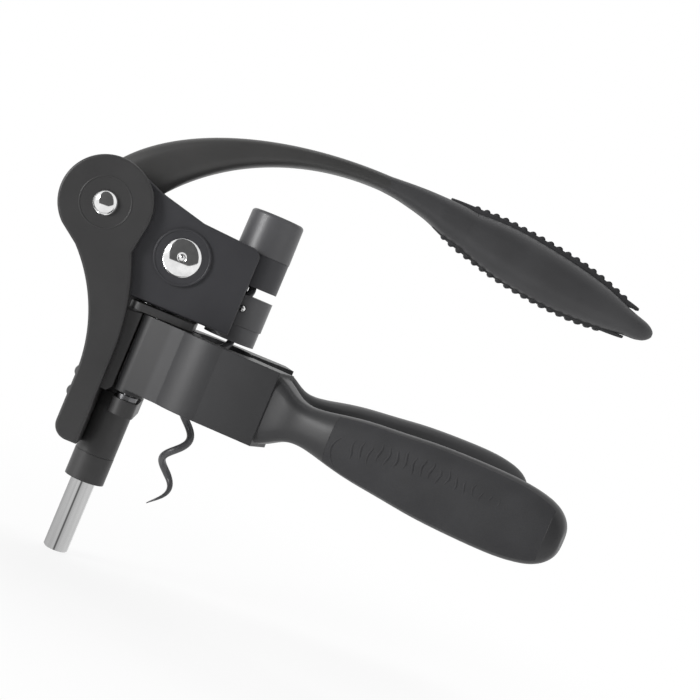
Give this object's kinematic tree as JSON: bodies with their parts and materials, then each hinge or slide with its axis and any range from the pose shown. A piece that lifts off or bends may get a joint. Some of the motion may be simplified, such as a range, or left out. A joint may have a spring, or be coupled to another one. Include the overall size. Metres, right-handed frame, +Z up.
{
  "type": "lever corkscrew",
  "caption": "Lever corkscrew: handled jaws clasp the bottle's neck while a long top lever slides a carriage and its turning worm along a rod.",
  "frame": {"origin": "on the worm's axis, level with the underside of the neck jaws, where the bottle's neck enters", "axes": "+Z up along the worm and the guide rod, +X from the guide rod towards the handles' ends, +Y away from the front"},
  "size_m": [0.1959, 0.1082, 0.1577],
  "materials": {
    "frame_enamel": "satin black enamel on a zinc casting",
    "carriage_enamel": "satin black enamel on a zinc casting",
    "jaw_enamel": "satin black enamel on a zinc casting",
    "lever_enamel": "satin black enamel on a zinc casting",
    "lever_shell": "fine matt black polymer",
    "soft_grip": "soft matt black rubber",
    "soft_pad": "smooth black rubber",
    "cap_polymer": "satin dark grey polymer",
    "slick_polymer": "smooth grey low-friction polymer",
    "polished_steel": "mirror polish",
    "plain_steel": "plain bright steel",
    "rod_steel": "drawn bright steel",
    "dark_steel": "blackened steel",
    "coil_coating": "dark low-friction coating",
    "bearing_bronze": "plain turned bronze"
  },
  "bodies": {
    "frame": {"frame_front_half": "frame_enamel", "frame_back_half": "frame_enamel", "guide_tube": "frame_enamel", "guide_ring": "frame_enamel", "pivot_pin": "polished_steel", "pivot_cap": "polished_steel", "hinge_plate": "frame_enamel", "hinge_pins": "plain_steel", "hinge_washers": "plain_steel", "back_screws": "dark_steel"},
    "front_jaw": {"front_jaw": "jaw_enamel", "front_neck_pad": "soft_pad", "front_grip_inset": "soft_grip"},
    "back_jaw": {"back_jaw": "jaw_enamel", "back_neck_pad": "soft_pad", "back_grip_inset": "soft_grip"},
    "lever": {"lever_arm": "lever_enamel", "lever_bush": "bearing_bronze", "lever_grip_front_shell": "lever_shell", "lever_grip_back_shell": "lever_shell", "lever_grip_rim": "soft_grip", "crank_plates": "plain_steel", "crank_rollers": "plain_steel"},
    "carriage": {"carriage_front_cheek": "carriage_enamel", "carriage_back_cheek": "carriage_enamel", "carriage_core": "carriage_enamel", "clamp_bolt": "polished_steel", "clamp_nut": "polished_steel", "guide_rod": "rod_steel", "bearing_cap": "cap_polymer", "thrust_washer": "bearing_bronze"},
    "worm": {"worm": "coil_coating", "worm_head": "plain_steel"},
    "nut": {"nut_carrier": "cap_polymer", "nut_insert": "slick_polymer", "latch_ball": "polished_steel"}
  },
  "joints": [
    {"name": "lever_swing", "type": "hinge", "parent": "frame", "child": "lever", "pos_m": [-0.0498, 0, 0.0523], "axis": [0, -1, 0], "range_deg": [0, 113]},
    {"name": "carriage_slide", "type": "slide", "parent": "frame", "child": "carriage", "axis": [0, 0, 1], "range_m": [0, 0.04801]},
    {"name": "worm_spin", "type": "hinge", "parent": "carriage", "child": "worm", "pos_m": [0, 0, 0.055], "axis": [0, 0, 1], "range_deg": [0, 977]},
    {"name": "front_jaw_hinge", "type": "hinge", "parent": "frame", "child": "front_jaw", "pos_m": [-0.0207, -0.0115, 0.0122], "axis": [0, 0, -1], "range_deg": [-21, 9]},
    {"name": "back_jaw_hinge", "type": "hinge", "parent": "frame", "child": "back_jaw", "pos_m": [-0.0207, 0.0115, 0.0122], "axis": [0, 0, 1], "range_deg": [-12, 18]},
    {"name": "nut_carrier_lift", "type": "slide", "parent": "frame", "child": "nut", "axis": [0, 0, 1], "range_m": [0, 0.0026]}
  ],
  "couplings": [
    {"joint": "carriage_slide", "follows": "lever_swing", "m_per_rad": 0.024338},
    {"joint": "worm_spin", "follows": "lever_swing", "ratio": 8.6396}
  ]
}
